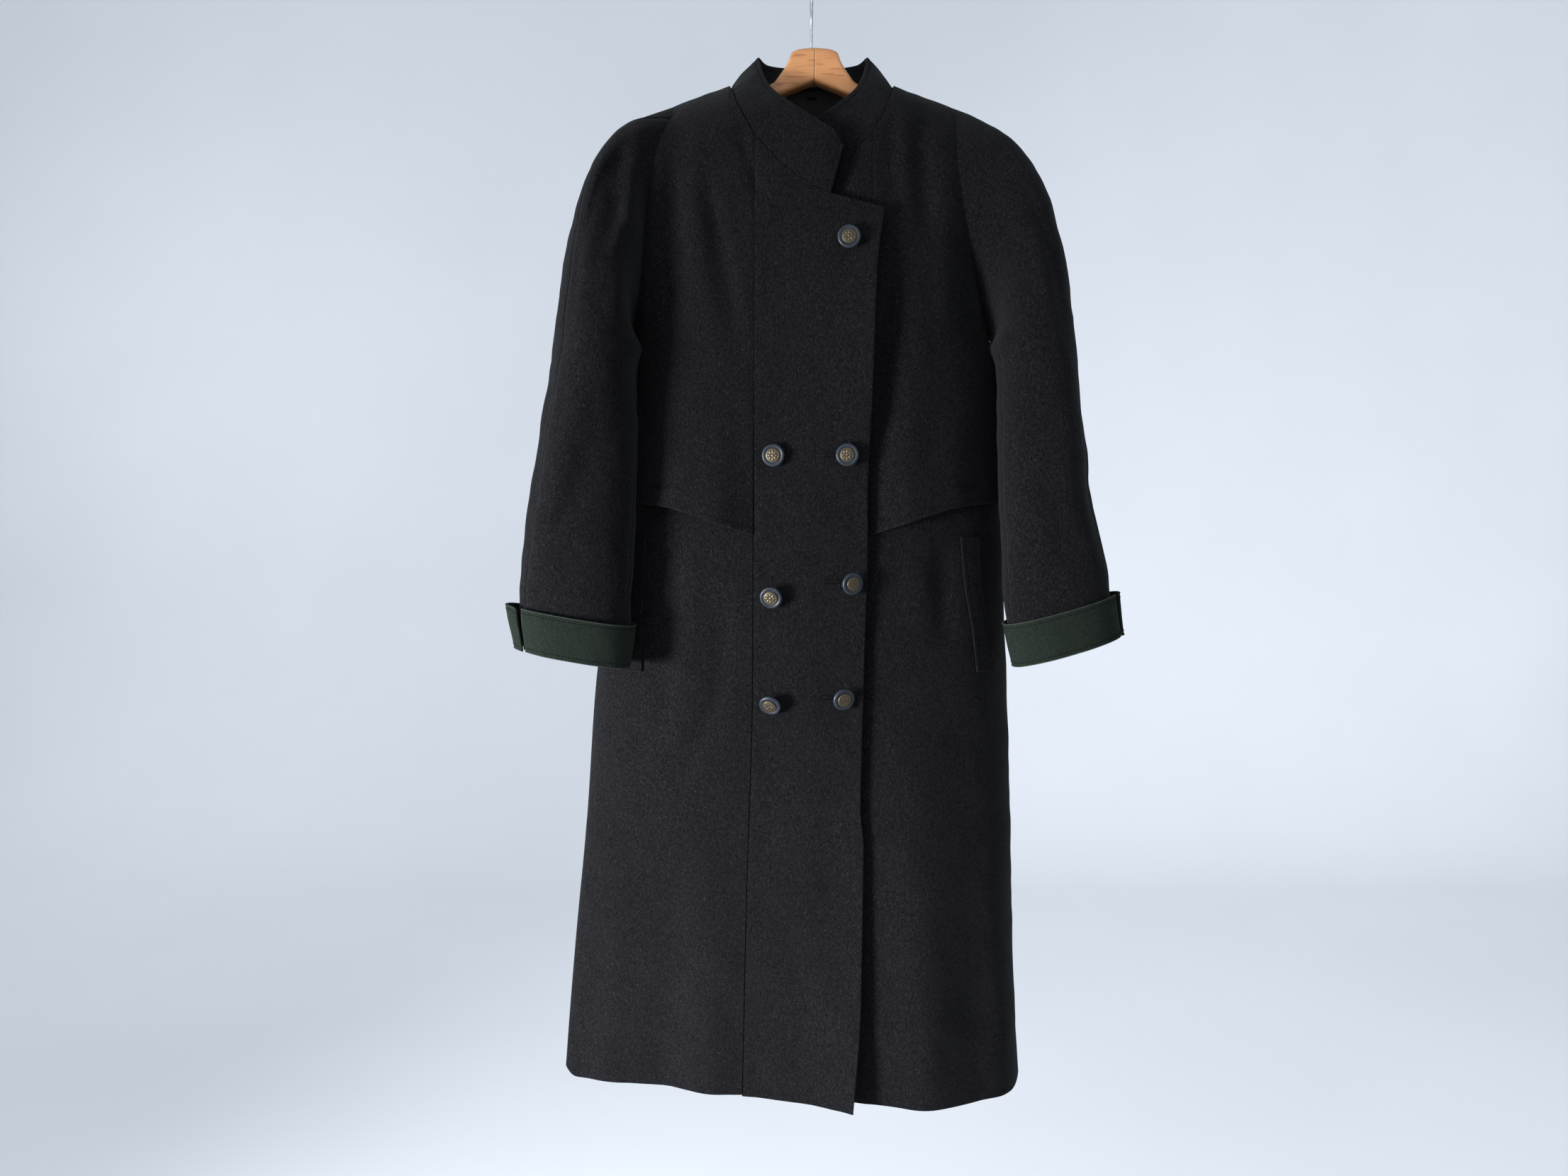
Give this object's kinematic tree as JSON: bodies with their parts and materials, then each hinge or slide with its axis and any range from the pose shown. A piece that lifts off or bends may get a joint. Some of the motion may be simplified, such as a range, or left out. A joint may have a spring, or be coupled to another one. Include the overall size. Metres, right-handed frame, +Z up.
{
  "type": "loden coat on a wooden hanger",
  "caption": "Long double-breasted coat with a stand collar, storm flaps, slanting pockets and turned-back cuffs, hung on a wooden hanger with a wire hook.",
  "frame": {"origin": "where the top of the hook's inside bears on what holds it", "axes": "+Z up, -Y out of the coat's front, +X to the viewer's right, which is the wearer's left"},
  "size_m": [0.6904, 0.1885, 1.2951],
  "materials": {
    "loden": "dense brushed wool cloth, matt",
    "felt": "dark green wool felt, matt",
    "horn": "dark blue-grey horn or horn-like button, satin",
    "bronze": "aged cast bronze, satin",
    "beech": "clear-lacquered light beech",
    "wire": "nickel-plated steel wire"
  },
  "bodies": {
    "root": {"right_front": "loden", "left_front": "loden", "right_side_front": "loden", "left_side_front": "loden", "right_storm_flap": "loden", "left_storm_flap": "loden", "back": "loden", "collar": "loden", "right_front_sleeve": "loden", "right_back_sleeve": "loden", "left_front_sleeve": "loden", "left_back_sleeve": "loden", "right_pocket_welt": "loden", "left_pocket_welt": "loden", "hang_loop": "loden", "right_cuff": "felt", "left_cuff": "felt", "button_1": "horn", "button_2": "horn", "button_3": "horn", "button_4": "horn", "button_5": "horn", "button_6": "horn", "button_7": "horn", "medallion_1": "bronze", "medallion_2": "bronze", "medallion_3": "bronze", "medallion_4": "bronze", "medallion_5": "bronze", "medallion_6": "bronze", "medallion_7": "bronze", "hanger_right_arm": "beech", "hanger_left_arm": "beech", "hanger_hook": "wire"}
  },
  "joints": []
}
